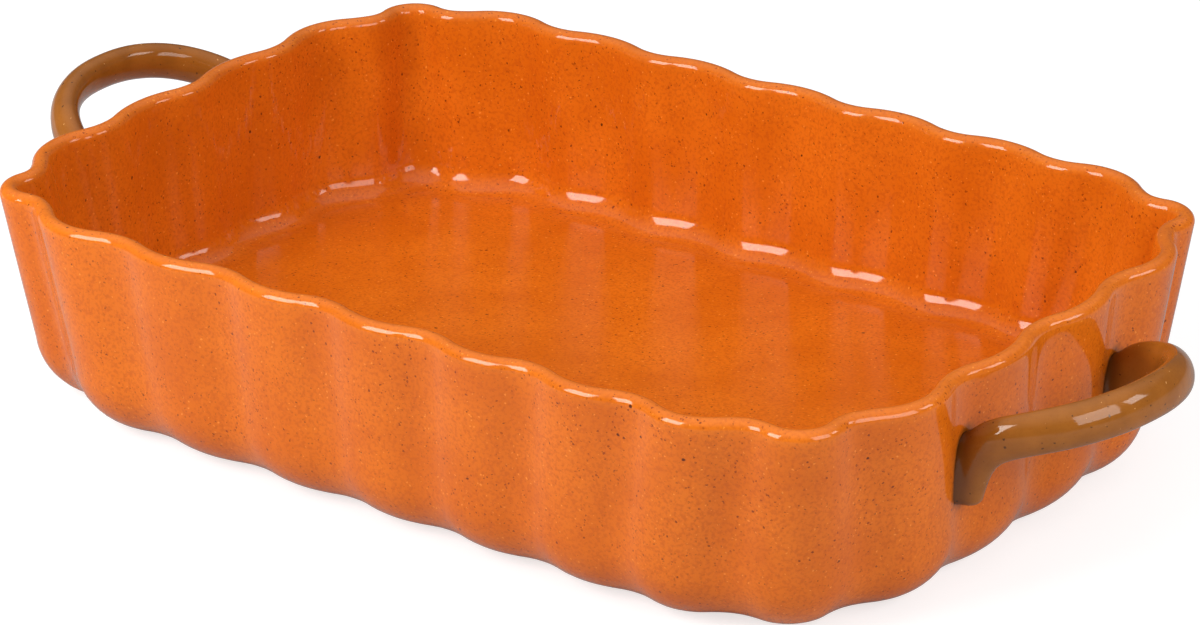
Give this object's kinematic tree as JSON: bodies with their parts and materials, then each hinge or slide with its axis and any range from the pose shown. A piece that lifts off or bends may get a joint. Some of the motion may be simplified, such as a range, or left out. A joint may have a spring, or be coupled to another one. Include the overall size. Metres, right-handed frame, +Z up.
{
  "type": "rectangular baking dish",
  "caption": "Rectangular stoneware baking dish with fluted, slightly flared walls, a rounded rim, a flat floor and an arched strap handle on each short side, for baking and serving.",
  "frame": {"origin": "on the table, under the middle of the dish, midway between the handles", "axes": "+X along the length towards the right handle, the near one in the picture; +Y across the width towards the far long side; +Z up from the foot ring to the rim"},
  "size_m": [0.4363, 0.244, 0.077],
  "materials": {
    "orange_glaze": "glossy, speckled",
    "brown_glaze": "glossy"
  },
  "bodies": {
    "root": {"dish_body": "orange_glaze", "right_handle": "brown_glaze", "left_handle": "brown_glaze"}
  },
  "joints": []
}
